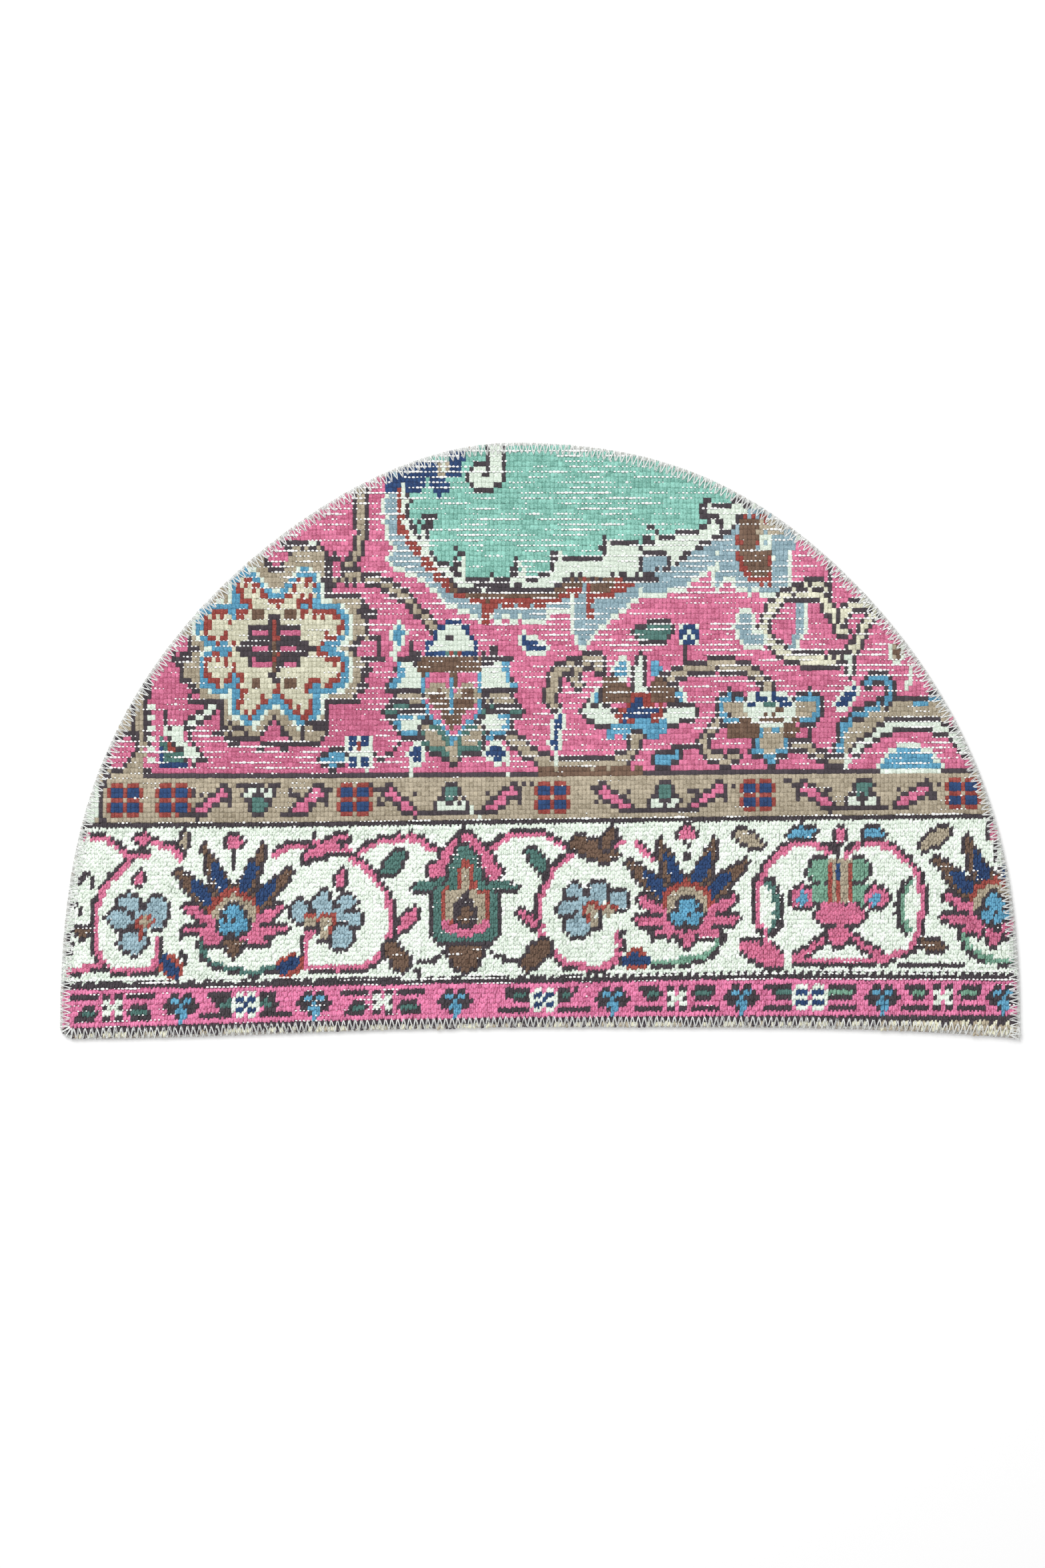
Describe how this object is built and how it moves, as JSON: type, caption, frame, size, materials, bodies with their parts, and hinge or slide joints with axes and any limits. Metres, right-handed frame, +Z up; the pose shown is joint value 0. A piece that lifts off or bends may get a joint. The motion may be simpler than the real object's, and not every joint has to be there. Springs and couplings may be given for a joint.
{
  "type": "turkish rug",
  "caption": "Half-round hand-knotted wool rug with a worn floral field, patterned borders along its straight edge and a zigzag-overcast rim.",
  "frame": {"origin": "under the middle of the rug's bounding box, on the surface that it rests on", "axes": "+X along the straight edge, +Y from the straight edge to the crown of the arc, +Z up out of the pile"},
  "size_m": [0.8, 0.497, 0.0068],
  "materials": {
    "wool_pile": "matte",
    "cotton_foundation": "matte",
    "overcast_thread": "satin"
  },
  "bodies": {
    "root": {"knotted_rug": "wool_pile"}
  },
  "joints": []
}
